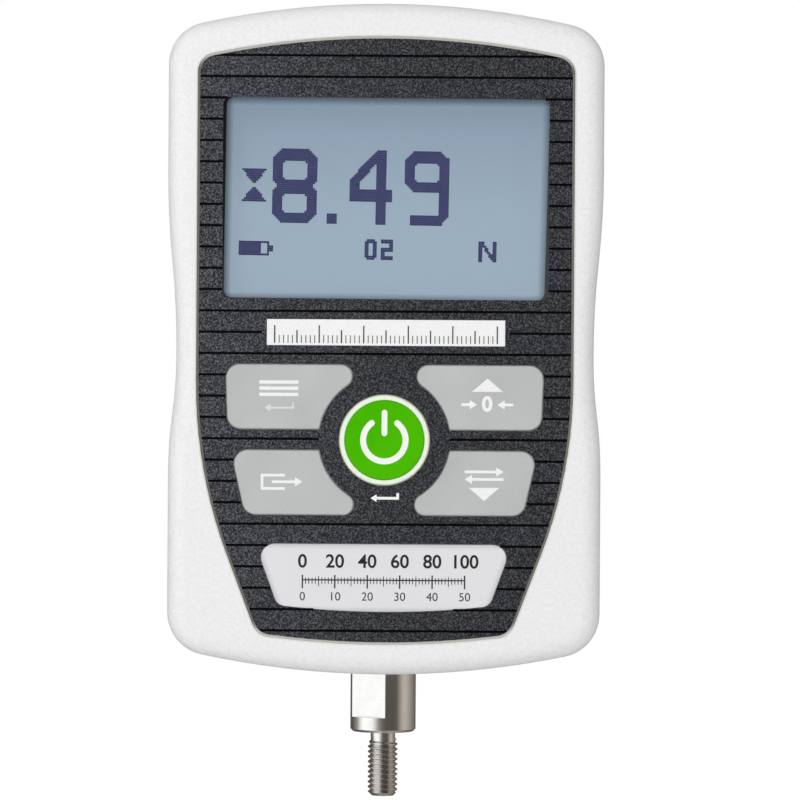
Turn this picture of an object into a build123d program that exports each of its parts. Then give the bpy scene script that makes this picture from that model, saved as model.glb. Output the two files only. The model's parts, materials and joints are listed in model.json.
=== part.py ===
from build123d import *
import os
from math import atan2, cos, degrees, radians, sin, sqrt, tan

# Hand-held digital force gauge, in millimetres.
# +Z is up, the display faces -Y and +X is on the reader's right. The origin is the mouth of
# the dowel hole in the rear face, which lies in the plane y = 0.
# A depth is a distance forward of the rear face, so a depth d lies at y = -d.

# Gaps and clearances
seat_gap = 0.2
slip_gap = 0.1
thread_gap = 0.05
past = 1.0  # how far a cutter runs past the face that it cuts

# Display window, as it is seen through the overlay
window_w = 50.3
window_h = 31.1
window_z = 15.42
window_corner_r = 1.1
lens_rim = 1.5
lens_t = 1.3

# Keys, measured from the centre of the power key
key_drop = 21.67  # from the foot of the window to the centre of the power key
key_near_z = 1.65
key_far_z = 11.55
upper_key_near_x = 24.15
upper_key_far_x = 24.5
lower_key_near_x = 23.65
lower_key_far_x = 21.4
key_circle_r = 10.2  # the keys curve round the power key at this radius
key_corner_r = 2.1
upper_key_nose_r = 1.72
lower_key_nose_r = 1.6
key_heel_r = 0.25
key_gap = 0.15
key_proud = 0.2
key_edge = 0.15
key_flange = 0.7
key_flange_t = 0.45
key_slack = 0.1  # from the flange to the overlay over it
power_key_r = 6.15
power_ring_r = 6.92
power_proud = 0.3

# Snap domes
dome_r = 4.0
dome_top_r = 2.2
dome_rim = 0.4
dome_h = 0.5
dome_t = 0.12
dome_gap = 0.05

# Light plate under the keys
plate_drop = 4.52
plate_h = 10.39
plate_top_half = 19.78
plate_lean = 20.0  # degrees
plate_top_r = 2.1
plate_foot_r = 1.8
plate_t = 0.4

# Keypad overlay and the layers under it
overlay_side_rim = 3.64
overlay_top_rim = 9.215
overlay_foot_rim = 4.8
overlay_crown_r = 130.0
overlay_foot_r = 140.0
overlay_corner_r = 2.7
overlay_bend_rise = 8.9  # the sides start to bend in this far above the power key
overlay_bend_r = 75.0
overlay_bend = 20.7  # degrees
overlay_sink = 0.3
overlay_t = 0.5
spacer_t = 1.1
spacer_inset = 0.3
circuit_t = 0.3
recess_gap = 0.12
recess_bevel = 0.25
tail_w = 10.0
tail_drop = 5.6
tail_slot_gap = 0.45

# Housing
wall = 2.5
rear_wall = 3.0
front_web = 2.0
face_side_rim = 4.92
face_top_rim = 5.5
face_foot_rim = 5.03
crown_r = 132.9
foot_r = 137.0
top_corner_r = 6.6
foot_corner_r = 6.75
front_edge_r = 3.0
rear_edge_r = 2.5
waist_z = -8.5
waist_length = 1.0
waist_drop = 1.43
upper_blend = 27.6
lower_blend = 18.0
foot_drop = 0.25
tongue_t = 1.2
tongue_h = 1.5
rib_t = 1.6
rib_h = 4.0

# Housing screws
boss_r = 2.6
boss_inset = 2.55
boss_end_inset = 8.5
screw_r = 1.2
screw_hole_r = 1.4
screw_l = 20.0
screw_head_r = 2.25
screw_head_h = 1.7
head_pocket_r = 2.5
head_pocket_t = 2.1
hex_key_r = 0.9

# Stand mount in the rear face
pad_half_x = 18.0
pad_half_z = 13.5
pad_t = 8.0
dowel_r = 3.19
dowel_insert_r = 5.0
dowel_depth = 7.0
stand_spacing_x = 25.4
stand_spacing_z = 19.05
stand_thread_r = 2.05
stand_insert_r = 3.2
stand_insert_l = 6.0

# Load cell and its anchor
cell_w = 30.0
cell_h = 34.0
cell_t = 12.7
cell_slot_h = 1.6
cell_slot_leg = 7.2
cell_slot_stop = 9.0
cell_eye_r = 5.2
cell_eye_x = 5.5
cell_eye_slot_h = 3.0
cell_thread_r = 3.0
cell_thread_l = 6.0
anchor_w = 28.0
anchor_h = 12.0
anchor_t = 12.4
anchor_screw_x = 7.0
anchor_screw_rows = (3.0, 9.5)
anchor_screw_r = 1.5
anchor_screw_l = 16.0
anchor_screw_head_r = 2.75
anchor_screw_head_h = 2.5
cell_bolt_head_r = 4.9
cell_bolt_head_h = 6.0
gauge_w = 4.0
gauge_l = 6.0
gauge_t = 0.15
lead_t = 0.3
lead_w = 6.0
lead_x = -9.0
lead_gap = 0.25
lead_room = 0.6  # left between the lead and the board

# Loading shaft
shaft_r = 5.18
shaft_hole_gap = 0.55
shaft_reach = 9.955
shaft_flats = 8.29
shaft_flat_turn = -33.1  # degrees from straight ahead, towards -X
shaft_collar = 2.36
shaft_chamfer = 0.4
shaft_top_gap = 2.0
shaft_tail_r = 2.95
neck_r = 1.95
neck_l = 0.95
stud_r = 2.39
stud_l = 10.2
stud_chamfer = 0.6
nut_flats = 10.0
nut_t = 3.4

# Display module
lcd_border = 2.15
lcd_t = 2.0
lcd_gap = 0.3
backlight_t = 2.3
backlight_border = 1.0
frame_t = 0.55
frame_floor = 0.5

# Main board and what it carries
board_t = 1.6
board_side_gap = 1.45
board_top_inset = 7.7
board_foot_gap = 0.7
board_notch_gap = 0.4
board_post_r = 2.2
board_post_x = 20.0
board_post_inset = 1.9
board_screw_r = 0.9
board_screw_l = 5.0
board_head_r = 1.7
board_head_h = 1.2
tail_socket = (13.0, 3.6, 1.8)
lead_socket = (8.0, 4.0, 1.7)
buzzer_r = 6.0
buzzer_h = 3.5
buzzer_hole_r = 1.2
buzzer_hole_l = 1.2
buzzer_x = 15.0
buzzer_rise = 14.3  # from the foot of the board to the middle, as are the rises below
processor = (-8.0, 28.3, 10.0, 10.0, 1.4)  # x, rise, width, height and thickness
converter = (8.0, 29.3, 7.0, 5.0, 1.2)
memory = (-9.0, 12.3, 6.0, 8.0, 1.2)
charger = (20.0, 30.3, 5.0, 6.5, 1.8)
amplifier = (2.0, 16.3, 3.2, 6.4, 1.6)
regulator = (-20.0, 32.3, 4.0, 4.0, 1.0)
usb_w = 7.7
usb_h = 3.9
usb_l = 9.2
usb_shell = 0.4
usb_back_t = 2.2
usb_tongue_w = 4.9
usb_tongue_t = 1.0
usb_rise = 17.3
jack_w = 6.0
jack_h = 4.8
jack_l = 9.0
jack_hole_r = 1.9
jack_hole_l = 7.5
jack_pin_r = 0.65
jack_rise = 7.8
socket_sink = 0.5
socket_gap = 0.25
bay_spare = 0.4

# Battery
battery_l = 46.4
battery_h = 26.3
battery_t = 17.0
battery_edge_r = 2.0
battery_pad_gap = 0.8
battery_roof_gap = 0.2
battery_side_gap = 0.4
terminal_r = 2.9
terminal_l = 1.8
terminal_spacing = 12.7
snap_t = 3.4
snap_gap = 0.3
snap_w = 12.0
snap_inset = 1.0  # how far the snap and the cushion stop short of the battery's edges
cushion_min_t = 1.4
cushion_half_x = 17.0
wire_r = 0.6
wire_drop = 4.5
wire_cut = 1.5  # the length that a bend takes off each of its legs
wire_spacing = 3.0


def arch_drop(half_width, radius):
    """How far an arch falls away from its crown at this half width."""
    return radius - sqrt(radius**2 - half_width**2)


# Depths, stacked from the rear face to the front face
battery_back = rear_wall + seat_gap
battery_front = battery_back + battery_t
cell_back = pad_t + slip_gap
cell_front = cell_back + cell_t
shaft_depth = cell_back + cell_t / 2
parting = shaft_depth
lead_front = cell_front + lead_gap + lead_t
board_back = max(battery_front + cushion_min_t + 2 * seat_gap, lead_front + lead_room)
board_front = board_back + board_t
lcd_stack = lcd_t + backlight_t + frame_floor + 2 * thread_gap
front_bay = max(lcd_stack + lcd_gap, jack_h + bay_spare, usb_h + bay_spare)
web_back = board_front + front_bay
recess_floor = web_back + front_web
circuit_front = recess_floor + circuit_t
overlay_back = circuit_front + spacer_t
overlay_front = overlay_back + overlay_t
front = overlay_front + overlay_sink
lcd_front = web_back - lcd_gap
lcd_back = lcd_front - lcd_t
flange_front = overlay_back - key_slack
key_back = flange_front - key_flange_t

# Heights and widths that follow from what the housing holds
window_top = window_z + window_h / 2
window_foot = window_z - window_h / 2
power_z = window_foot - key_drop
plate_top = power_z - key_far_z - plate_drop
overlay_top = window_top + overlay_top_rim
overlay_foot = plate_top - plate_h - overlay_foot_rim
overlay_half = window_w / 2 + overlay_side_rim
battery_foot = pad_half_z + battery_pad_gap
battery_top = battery_foot + battery_h
battery_reach = (battery_l + snap_gap + snap_t) / 2
snap_left = battery_reach - snap_t
half_top = max(
    overlay_half + face_side_rim,
    battery_reach + battery_side_gap + boss_r + boss_inset + wall,
)
half_waist = half_top - waist_drop
half_foot = half_top - foot_drop
top_z = max(
    overlay_top + face_top_rim,
    battery_top + battery_roof_gap + wall + arch_drop(battery_reach, crown_r),
)
cell_top = -pad_half_z
cell_foot = cell_top - cell_h
shaft_top = cell_foot - nut_t - shaft_top_gap
foot_z = min(overlay_foot - face_foot_rim, shaft_top - wall - 2 * slip_gap)
shoulder_z = foot_z - shaft_reach
boss_places = [
    (side * (half - wall - boss_inset), z)
    for half, z in ((half_top, top_z - boss_end_inset), (half_foot, foot_z + boss_end_inset))
    for side in (-1, 1)
]
board_half = half_waist - wall - board_side_gap
board_top = top_z - board_top_inset
board_foot = foot_z + boss_end_inset + boss_r + board_foot_gap
board_posts = [
    (side * board_post_x, z)
    for z in (board_top - board_post_inset, board_foot + board_post_r + slip_gap)
    for side in (-1, 1)
]
buzzer_place = (buzzer_x, board_foot + buzzer_rise)
usb_z = board_foot + usb_rise
jack_z = board_foot + jack_rise
stand_places = [
    (side * stand_spacing_x / 2, end * stand_spacing_z / 2) for side in (-1, 1) for end in (-1, 1)
]
tail_z = window_foot - tail_drop


# Small tools that the pieces share
def slab(sketch, start, end):
    """The solid of an XZ sketch between two depths."""
    return extrude(Plane.XZ.offset(start) * sketch, amount=end - start)


def post(place, radius, start, end):
    return slab(Pos(*place) * Circle(radius), start, end)


def block(left, right, low, high, start, end):
    middle = Pos((left + right) / 2, (low + high) / 2)
    return slab(middle * Rectangle(right - left, high - low), start, end)


def upright(radius, low, high):
    """A round bar on the shaft axis, between two heights."""
    return Pos(0, -shaft_depth, low) * extrude(Circle(radius), amount=high - low)


def front_edges(solid):
    return solid.faces().sort_by(Axis.Y)[0].edges()


def rear_edges(solid):
    return solid.faces().sort_by(Axis.Y)[-1].edges()


def between_arches(sides, top, top_r, foot, foot_r):
    """Cuts the ends of an outline to two arches and returns it."""
    below_crown = Pos(0, top - top_r) * Circle(top_r)
    above_foot = Pos(0, foot + foot_r) * Circle(foot_r)
    return sides & below_crown & above_foot


def round_ends(outline, top_r, foot_r):
    outline = fillet(outline.vertices().group_by(Axis.Y)[-1], top_r)
    return fillet(outline.vertices().group_by(Axis.Y)[0], foot_r)


def both_sides(right_side):
    """A face between a right-hand edge, drawn from the top down, and its mirror image."""
    left_side = mirror(right_side, Plane.YZ)
    top = Line(left_side @ 0, right_side @ 0)
    foot = Line(left_side @ 1, right_side @ 1)
    return make_face(right_side + left_side + top + foot)


# Outlines
def blend_down(upper, lower):
    """Two arcs that lead from one upright line to another, further down."""
    middle = ((upper[0] + lower[0]) / 2, (upper[1] + lower[1]) / 2)
    first = TangentArc(upper, middle, tangent=(0, -1))
    return first + TangentArc(middle, lower, tangent=first % 1)


def housing_outline(inset=0.0):
    upper = (half_top - inset, waist_z + waist_length / 2 + upper_blend)
    waist_top = (half_waist - inset, waist_z + waist_length / 2)
    waist_foot = (half_waist - inset, waist_z - waist_length / 2)
    lower = (half_foot - inset, waist_z - waist_length / 2 - lower_blend)
    side = (
        Line((upper[0], top_z + past), upper)
        + blend_down(upper, waist_top)
        + Line(waist_top, waist_foot)
        + blend_down(waist_foot, lower)
        + Line(lower, (lower[0], foot_z - past))
    )
    crown = (top_z - inset, crown_r - inset)
    foot = (foot_z + inset, foot_r - inset)
    outline = between_arches(both_sides(side), *crown, *foot)
    return round_ends(outline, top_corner_r - inset, foot_corner_r - inset)


def overlay_outline(inset=0.0):
    """The keypad's outline: upright sides that bend inwards at the foot."""
    half = overlay_half - inset
    bend_z = power_z + overlay_bend_rise
    bend_r = overlay_bend_r - inset
    turn = radians(overlay_bend)
    lean_x = half - bend_r * (1 - cos(turn))
    lean_z = bend_z - bend_r * sin(turn)
    side_foot = overlay_foot - past
    foot_x = lean_x - (lean_z - side_foot) * tan(turn)
    side = (
        Line((half, overlay_top + past), (half, bend_z))
        + TangentArc((half, bend_z), (lean_x, lean_z), tangent=(0, -1))
        + Line((lean_x, lean_z), (foot_x, side_foot))
    )
    crown = (overlay_top - inset, overlay_crown_r - inset)
    foot = (overlay_foot + inset, overlay_foot_r - inset)
    outline = between_arches(both_sides(side), *crown, *foot)
    return round_ends(outline, overlay_corner_r - inset, overlay_corner_r - inset)


def window_outline(grow=0.0):
    corner_r = window_corner_r + grow
    return Pos(0, window_z) * RectangleRounded(window_w + 2 * grow, window_h + 2 * grow, corner_r)


def plate_outline():
    side_h = plate_h + past
    foot_half = plate_top_half - side_h * tan(radians(plate_lean))
    side = Line((plate_top_half, plate_top), (foot_half, plate_top - side_h))
    above_foot = Pos(0, plate_top - plate_h + overlay_foot_r) * Circle(overlay_foot_r)
    return round_ends(both_sides(side) & above_foot, plate_top_r, plate_foot_r)


def key_outline(near_x, far_x, nose_r):
    """A key up and to the right of the power key, which lies at the origin."""
    nose_z = key_far_z - nose_r
    nose_x = sqrt((key_circle_r + nose_r) ** 2 - nose_z**2)
    heel_x = sqrt(key_circle_r**2 - key_near_z**2)
    nose_turn = degrees(atan2(nose_z, nose_x))
    heel_turn = degrees(atan2(key_near_z, heel_x))
    corners = [
        (nose_x, key_far_z),
        (far_x, key_far_z),
        (near_x, key_near_z),
        (heel_x, key_near_z),
    ]
    edge = (
        Polyline(*corners)
        + CenterArc((0, 0), key_circle_r, heel_turn, nose_turn - heel_turn)
        + CenterArc((nose_x, nose_z), nose_r, 90, 90 + nose_turn)
    )
    outline = make_face(edge)
    outer = [v for v in outline.vertices() if v.X > (heel_x + near_x) / 2]
    outline = fillet(outer, key_corner_r)
    return fillet(outline.vertices().sort_by_distance((heel_x, key_near_z))[0], key_heel_r)


def key_outlines():
    """The four keys' outlines, by name."""
    upper = key_outline(upper_key_near_x, upper_key_far_x, upper_key_nose_r)
    lower = key_outline(lower_key_near_x, lower_key_far_x, lower_key_nose_r)
    outlines = {
        "zero": upper,
        "menu": mirror(upper, Plane.YZ),
        "mode": mirror(lower, Plane.XZ),
        "data": Rot(0, 0, 180) * lower,
    }
    return {name: Pos(0, power_z) * outline for name, outline in outlines.items()}


def dome_places():
    """The middle of each key, by name."""
    places = {"power": (0, power_z)}
    for name, outline in key_outlines().items():
        box = outline.bounding_box()
        outer_x = box.max.X if box.max.X > -box.min.X else box.min.X
        inner_x = key_circle_r if outer_x > 0 else -key_circle_r
        places[name] = ((outer_x + inner_x) / 2, (box.min.Y + box.max.Y) / 2)
    return places


def flanged(outline, top):
    """A key or a ring: its pad up to a depth, and the flange that holds it under the overlay."""
    pad = slab(outline, key_back, top)
    pad = chamfer(front_edges(pad), key_edge)
    return pad + slab(offset(outline, key_flange), key_back, flange_front)


# Housing
def shell(start, end, hollow_start, hollow_end, rounded):
    """Half of the housing as an open tray, with one face's edges rounded."""
    tray = slab(housing_outline(), start, end)
    edges, radius = rounded
    tray = fillet(edges(tray), radius)
    return tray - slab(housing_outline(wall), hollow_start, hollow_end)


def lip(outer_inset, height):
    """The ring round the parting plane, from this inset to the inside of the wall."""
    ring = housing_outline(outer_inset) - housing_outline(wall)
    return slab(ring, parting - past, parting + height)


def shaft_hole():
    return upright(shaft_r + shaft_hole_gap, foot_z - past, cell_foot)


def socket_cut(width, height, z):
    """The cut for a socket's mouth in the left wall."""
    low = z - width / 2 - socket_gap
    high = z + width / 2 + socket_gap
    start = board_front - socket_gap
    end = board_front + height + socket_gap
    return block(-half_top - past, wall - half_waist + past, low, high, start, end)


def front_housing():
    body = shell(parting, front, parting - past, web_back, (front_edges, front_edge_r))
    posts = [post(place, boss_r, parting, web_back + past) for place in boss_places]
    posts += [post(place, board_post_r, board_front, web_back + past) for place in board_posts]
    body += posts
    body -= offset_lip_cut()
    body -= slab(overlay_outline(-recess_gap), recess_floor, front + past)
    body = chamfer(recess_rim(body), recess_bevel)
    body -= slab(window_outline(lens_rim / 6), web_back - past, recess_floor + past)
    slot_half = tail_w / 2 + tail_slot_gap
    slot_t = circuit_t / 2 + tail_slot_gap
    body -= block(-slot_half, slot_half, tail_z - slot_t, tail_z + slot_t, web_back - past, front)
    screw_tip = head_pocket_t + screw_l + thread_gap
    body -= [post(place, screw_r + thread_gap, parting - past, screw_tip) for place in boss_places]
    board_tip = board_back + board_screw_l + thread_gap
    hole_r = board_screw_r + thread_gap
    body -= [post(place, hole_r, board_front - past, board_tip) for place in board_posts]
    body -= socket_cut(usb_w, usb_h, usb_z)
    body -= socket_cut(jack_w, jack_h, jack_z)
    return body - shaft_hole()


def offset_lip_cut():
    """The rebate that takes the tongue of the rear half, with a sliding gap all round."""
    return lip(wall - tongue_t - slip_gap, tongue_h + slip_gap)


def recess_rim(body):
    """The edges of the overlay's recess in the front face."""
    return body.faces().sort_by(Axis.Y)[0].inner_wires()[0].edges()


def rear_housing():
    body = shell(0, parting, rear_wall, parting + past, (rear_edges, rear_edge_r))
    body += lip(wall - tongue_t, tongue_h) - slab(
        Rectangle(4 * half_top, 4 * top_z), parting - 2 * past, parting
    )
    body += [post(place, boss_r, rear_wall - past, parting) for place in boss_places]
    body += block(-pad_half_x, pad_half_x, -pad_half_z, pad_half_z, rear_wall - past, pad_t)
    for z in (-pad_half_z + rib_t / 2, pad_half_z - rib_t / 2):
        reach = half_waist - wall + past / 2
        rib = (z - rib_t / 2, z + rib_t / 2, rear_wall - past, rear_wall + rib_h)
        body += block(-reach, -pad_half_x + past, *rib)
        body += block(pad_half_x - past, reach, *rib)
    body -= [post(place, screw_hole_r, -past, parting + past) for place in boss_places]
    body -= [post(place, head_pocket_r, -past, head_pocket_t) for place in boss_places]
    body -= post((0, 0), dowel_insert_r + thread_gap, -past, dowel_depth + thread_gap)
    pocket = (stand_insert_r + thread_gap, -past, stand_insert_l + thread_gap)
    body -= [post(place, *pocket) for place in stand_places]
    tip = pad_t + anchor_t - anchor_screw_head_h - anchor_screw_l - thread_gap
    hole_r = anchor_screw_r + thread_gap
    body -= [post(place, hole_r, tip, pad_t + past) for place in anchor_screw_places()]
    return body - shaft_hole()


def housing_screw(place):
    head_start = head_pocket_t - screw_head_h
    head = post(place, screw_head_r, head_start, head_pocket_t)
    head -= slab(
        Pos(*place) * RegularPolygon(hex_key_r, 6), head_start - past, head_start + screw_head_h / 2
    )
    return head + post(place, screw_r, head_pocket_t, head_pocket_t + screw_l)


def housing_screws():
    return [housing_screw(place) for place in boss_places]


# Stand mount
def stand_dowel_insert():
    return post((0, 0), dowel_insert_r, 0, dowel_depth) - post((0, 0), dowel_r, -past, front)


def stand_thread_inserts():
    return [
        post(place, stand_insert_r, 0, stand_insert_l) - post(place, stand_thread_r, -past, front)
        for place in stand_places
    ]


# Keypad
def layer(outline, start, end):
    """A sheet of the keypad, cut out round the lens."""
    return slab(outline - window_outline(lens_rim + seat_gap), start, end)


def keypad_overlay():
    sheet = overlay_outline() - window_outline() - offset(plate_outline(), seat_gap / 2)
    for outline in key_outlines().values():
        sheet -= offset(outline, key_gap)
    sheet -= Pos(0, power_z) * Circle(power_ring_r + key_gap)
    return slab(sheet, overlay_back, overlay_front)


def keypad_spacer():
    sheet = overlay_outline(spacer_inset)
    for outline in key_outlines().values():
        sheet -= offset(outline, key_flange + seat_gap)
    sheet -= Pos(0, power_z) * Circle(power_ring_r + key_flange + seat_gap)
    return layer(sheet, circuit_front, overlay_back)


def keypad_circuit():
    """The switch circuit, with the tail that runs back through the front wall to the board."""
    sheet = layer(overlay_outline(spacer_inset), recess_floor, circuit_front)
    tail_end = board_front + tail_socket[2] + seat_gap
    low = tail_z - circuit_t / 2
    return sheet + block(-tail_w / 2, tail_w / 2, low, low + circuit_t, tail_end, recess_floor)


def display_window():
    return slab(window_outline(lens_rim), recess_floor, recess_floor + lens_t)


def scale_plate():
    return slab(plate_outline(), overlay_back, overlay_back + plate_t)


def key(name):
    return flanged(key_outlines()[name], overlay_front + key_proud)


def power_ring():
    ring = flanged(Pos(0, power_z) * Circle(power_ring_r), overlay_front + key_proud)
    ring -= post((0, power_z), power_key_r + thread_gap, flange_front, front + past)
    return ring


def power_key():
    cap = post((0, power_z), power_key_r, flange_front, overlay_front + power_proud)
    return chamfer(front_edges(cap), key_edge)


def dome(place):
    """A snap dome: a thin cap with sloping sides that stands on the circuit."""
    rise = dome_h - dome_gap
    section = Polyline(
        (0, rise),
        (dome_top_r, rise),
        (dome_r, 0),
        (dome_r - dome_rim, 0),
        (dome_top_r - dome_t, rise - dome_t),
        (0, rise - dome_t),
        close=True,
    )
    cap = revolve(make_face(section), Axis.Y)
    return Pos(place[0], -circuit_front, place[1]) * Rot(180, 0, 0) * cap


# Display module
def lcd_outline(grow):
    """The display glass's outline, grown by this much."""
    width = window_w + 2 * (lcd_border + grow)
    height = window_h + 2 * (lcd_border + grow)
    return Pos(0, window_z) * Rectangle(width, height)


def lcd_glass():
    return slab(lcd_outline(0), lcd_back, lcd_front)


def lcd_backlight():
    back = lcd_back - thread_gap - backlight_t
    return slab(lcd_outline(-backlight_border), back, back + backlight_t)


def lcd_frame():
    """The tray on the board that holds the backlight and the glass over it."""
    tray = slab(lcd_outline(frame_t + thread_gap), board_front, lcd_front)
    tray -= slab(lcd_outline(thread_gap), lcd_back - thread_gap, front)
    light_back = lcd_back - 2 * thread_gap - backlight_t
    return tray - slab(lcd_outline(thread_gap - backlight_border), light_back, front)


# Main board
def main_board():
    width = 2 * board_half
    middle_z = (board_top + board_foot) / 2
    sheet = Pos(0, middle_z) * Rectangle(width, board_top - board_foot)
    for x, z in boss_places:
        sheet -= Pos(x, z) * Rectangle(
            2 * (boss_r + board_notch_gap + boss_inset), 2 * (boss_r + board_notch_gap)
        )
    for place in board_posts:
        sheet -= Pos(*place) * Circle(board_screw_r + seat_gap)
    return slab(sheet, board_back, board_front)


def board_screws():
    return [
        post(place, board_head_r, board_back - board_head_h, board_back)
        + post(place, board_screw_r, board_back, board_back + board_screw_l)
        for place in board_posts
    ]


def on_board(x, z, width, height, thickness):
    """A part soldered to the front of the board."""
    edges = (x - width / 2, x + width / 2, z - height / 2, z + height / 2)
    return block(*edges, board_front, board_front + thickness)


def board_chips():
    chips = (processor, converter, memory, charger, amplifier, regulator)
    return [on_board(x, board_foot + rise, *size) for x, rise, *size in chips]


def board_connectors():
    """The sockets for the keypad's tail, in front, and the load cell's lead, behind."""
    width, height, thickness = lead_socket
    low = lead_top()
    behind = block(
        lead_x - width / 2, lead_x + width / 2, low, low + height, board_back - thickness, board_back
    )
    return [on_board(0, tail_z, *tail_socket), behind]


def buzzer():
    sounder = post(buzzer_place, buzzer_r, board_front, board_front + buzzer_h)
    top = board_front + buzzer_h
    return sounder - post(buzzer_place, buzzer_hole_r, top - buzzer_hole_l, top + past)


def usb_socket():
    """A mini socket: a metal shell with its tongue."""
    mouth = socket_sink - half_foot
    low, high = usb_z - usb_w / 2, usb_z + usb_w / 2
    top = board_front + usb_h
    middle = board_front + usb_h / 2
    body = block(mouth, mouth + usb_l, low, high, board_front, top)
    inner = (low + usb_shell, high - usb_shell, board_front + usb_shell, top - usb_shell)
    inner_end = mouth + usb_l - usb_back_t
    body -= block(mouth - past, inner_end, *inner)
    tongue_half = usb_tongue_w / 2
    tongue = (usb_z - tongue_half, usb_z + tongue_half, middle - usb_tongue_t / 2, middle + usb_tongue_t / 2)
    return body + block(mouth + past, inner_end + past, *tongue)


def power_socket():
    """A round charger socket with its centre pin."""
    mouth = socket_sink - half_foot
    body = block(
        mouth, mouth + jack_l, jack_z - jack_w / 2, jack_z + jack_w / 2, board_front, board_front + jack_h
    )
    axis = Plane((mouth, -board_front - jack_h / 2, jack_z), z_dir=(1, 0, 0))
    body -= extrude(axis.offset(-past) * Circle(jack_hole_r), amount=jack_hole_l + past)
    return body + extrude(axis.offset(past) * Circle(jack_pin_r), amount=jack_hole_l)


# Battery
def battery():
    left = -battery_reach
    right = left + battery_l
    body = block(left, right, battery_foot, battery_top, battery_back, battery_front)
    body = fillet(body.edges().filter_by(Axis.X), battery_edge_r)
    for z in terminal_heights():
        body += Plane((right, -battery_middle(), z), z_dir=(1, 0, 0)) * extrude(
            Circle(terminal_r), amount=terminal_l
        )
    return body


def battery_middle():
    return (battery_back + battery_front) / 2


def terminal_heights():
    middle = (battery_foot + battery_top) / 2
    return (middle - terminal_spacing / 2, middle + terminal_spacing / 2)


def battery_snap():
    """The cap with two spring clips that snaps on the battery's terminals."""
    start = battery_middle() - snap_w / 2
    cap = block(
        snap_left,
        snap_left + snap_t,
        battery_foot + snap_inset,
        battery_top - snap_inset,
        start,
        start + snap_w,
    )
    pocket_l = terminal_l - snap_gap + seat_gap
    for z in terminal_heights():
        plane = Plane((snap_left - past, -battery_middle(), z), z_dir=(1, 0, 0))
        cap -= plane * extrude(Circle(terminal_r + seat_gap), amount=pocket_l + past)
    return cap


def battery_cushion():
    """The foam between the battery and the board."""
    low = battery_foot + snap_inset
    high = board_posts[0][1] - board_head_r - snap_inset
    return block(
        -cushion_half_x, cushion_half_x, low, high, battery_front + seat_gap, board_back - seat_gap
    )


def battery_wires():
    """Two leads, down from the snap cap and forward to the board."""
    wires = []
    for step in (-0.5, 0.5):
        depth = battery_middle() + step * wire_spacing
        x = snap_left + snap_t / 2
        high = battery_foot + snap_inset
        low = high - wire_drop
        path = Polyline(
            (x, -depth, high),
            (x, -depth, low + wire_cut),
            (x, -depth - wire_cut, low),
            (x, -board_back, low),
        )
        start = Plane(path @ 0, z_dir=path % 0)
        wires.append(sweep(start * Circle(wire_r), path, transition=Transition.RIGHT))
    return wires


# Load cell
def load_cell():
    """An S-shaped beam: slots from both sides leave a middle bar, weakened by two joined eyes."""
    middle_z = cell_top - cell_h / 2
    face = Pos(0, middle_z) * Rectangle(cell_w, cell_h)
    slot_run = cell_w / 2 + cell_slot_stop
    for side, z in ((1, slot_heights()[0]), (-1, slot_heights()[1])):
        centre_x = side * (cell_w / 2 - slot_run / 2)
        face -= Pos(centre_x, z) * Rectangle(slot_run, cell_slot_h)
        face -= Pos(-side * cell_slot_stop, z) * Circle(cell_slot_h / 2)
    for side in (-1, 1):
        face -= Pos(side * cell_eye_x, middle_z) * Circle(cell_eye_r)
    face -= Pos(0, middle_z) * Rectangle(2 * cell_eye_x, cell_eye_slot_h)
    beam = slab(face, cell_back, cell_front)
    hole_r = cell_thread_r + thread_gap
    beam -= upright(hole_r, cell_top - cell_thread_l, cell_top + past)
    return beam - upright(hole_r, cell_foot - past, cell_foot + cell_thread_l)


def slot_heights():
    """The middles of the upper and the lower slot."""
    inset = cell_slot_leg + cell_slot_h / 2
    return (cell_top - inset, cell_foot + inset)


def strain_gauges():
    upper, lower = slot_heights()
    gauges = []
    for x in (-cell_eye_x, cell_eye_x):
        for face_z, way in ((upper - cell_slot_h / 2, 1), (lower + cell_slot_h / 2, -1)):
            low = min(face_z, face_z + way * gauge_t)
            start = shaft_depth - gauge_l / 2
            gauges.append(
                block(x - gauge_w / 2, x + gauge_w / 2, low, low + gauge_t, start, start + gauge_l)
            )
    return gauges


def anchor_screw_places():
    return [(side * anchor_screw_x, cell_top + row) for side in (-1, 1) for row in anchor_screw_rows]


def cell_anchor():
    """The block on the rear mount pad that the load cell hangs from."""
    high = cell_top + anchor_h
    body = block(-anchor_w / 2, anchor_w / 2, cell_top, high, pad_t, pad_t + anchor_t)
    body -= upright(cell_thread_r + seat_gap, cell_top - past, high + past)
    seat = pad_t + anchor_t - anchor_screw_head_h
    for place in anchor_screw_places():
        body -= post(place, anchor_screw_r + seat_gap, pad_t - past, seat + past)
        body -= post(place, anchor_screw_head_r + seat_gap, seat, pad_t + anchor_t + past)
    return body


def anchor_screws():
    seat = pad_t + anchor_t - anchor_screw_head_h
    return [
        post(place, anchor_screw_head_r, seat, seat + anchor_screw_head_h)
        + post(place, anchor_screw_r, seat - anchor_screw_l, seat)
        for place in anchor_screw_places()
    ]


def cell_bolt():
    seat = cell_top + anchor_h
    shank = upright(cell_thread_r, cell_top - cell_thread_l + slip_gap, seat)
    return shank + upright(cell_bolt_head_r, seat, seat + cell_bolt_head_h)


def lead_top():
    return cell_top + anchor_h + cell_bolt_head_h


def cell_lead():
    """The flat lead from the gauges, up the front of the load cell to the board."""
    start = cell_front + lead_gap
    low = cell_top - cell_h / 2
    return block(lead_x - lead_w / 2, lead_x + lead_w / 2, low, lead_top(), start, start + lead_t)


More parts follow.
